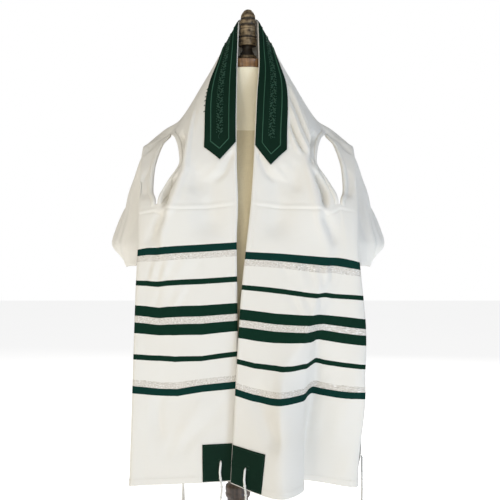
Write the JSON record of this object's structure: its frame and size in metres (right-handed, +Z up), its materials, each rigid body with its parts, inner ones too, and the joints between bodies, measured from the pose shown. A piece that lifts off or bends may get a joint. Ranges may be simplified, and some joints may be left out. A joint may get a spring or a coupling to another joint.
{
  "type": "tallit prayer shawl on dress form",
  "caption": "Cream tallit with green and silver stripes, green neckband, corner patches and white fringes, worn open on a limbless dress form on a round stand.",
  "frame": {"origin": "bottom centre of the whole object's box, on the floor it stands on", "axes": "+Z up, the shawl's open front towards -Y, +X to the viewer's right from the front"},
  "size_m": [0.5866, 0.414, 1.5285],
  "materials": {
    "wool": "matte twill",
    "satin": "satin",
    "cord": "matte",
    "linen": "matte",
    "walnut": "satin lacquer",
    "bronze": "aged"
  },
  "bodies": {
    "root": {"stand_base": "walnut", "stand_post": "walnut", "form_torso": "linen", "form_cap": "walnut", "form_finial": "bronze", "shawl_back": "wool", "shawl_left_front": "wool", "shawl_right_front": "wool", "shawl_left_wing": "wool", "shawl_right_wing": "wool", "neckband": "satin", "patch_left_inner": "satin", "patch_left_outer": "satin", "patch_right_inner": "satin", "patch_right_outer": "satin", "fringe_left_inner": "cord", "fringe_left_outer": "cord", "fringe_right_inner": "cord", "fringe_right_outer": "cord"}
  },
  "joints": []
}
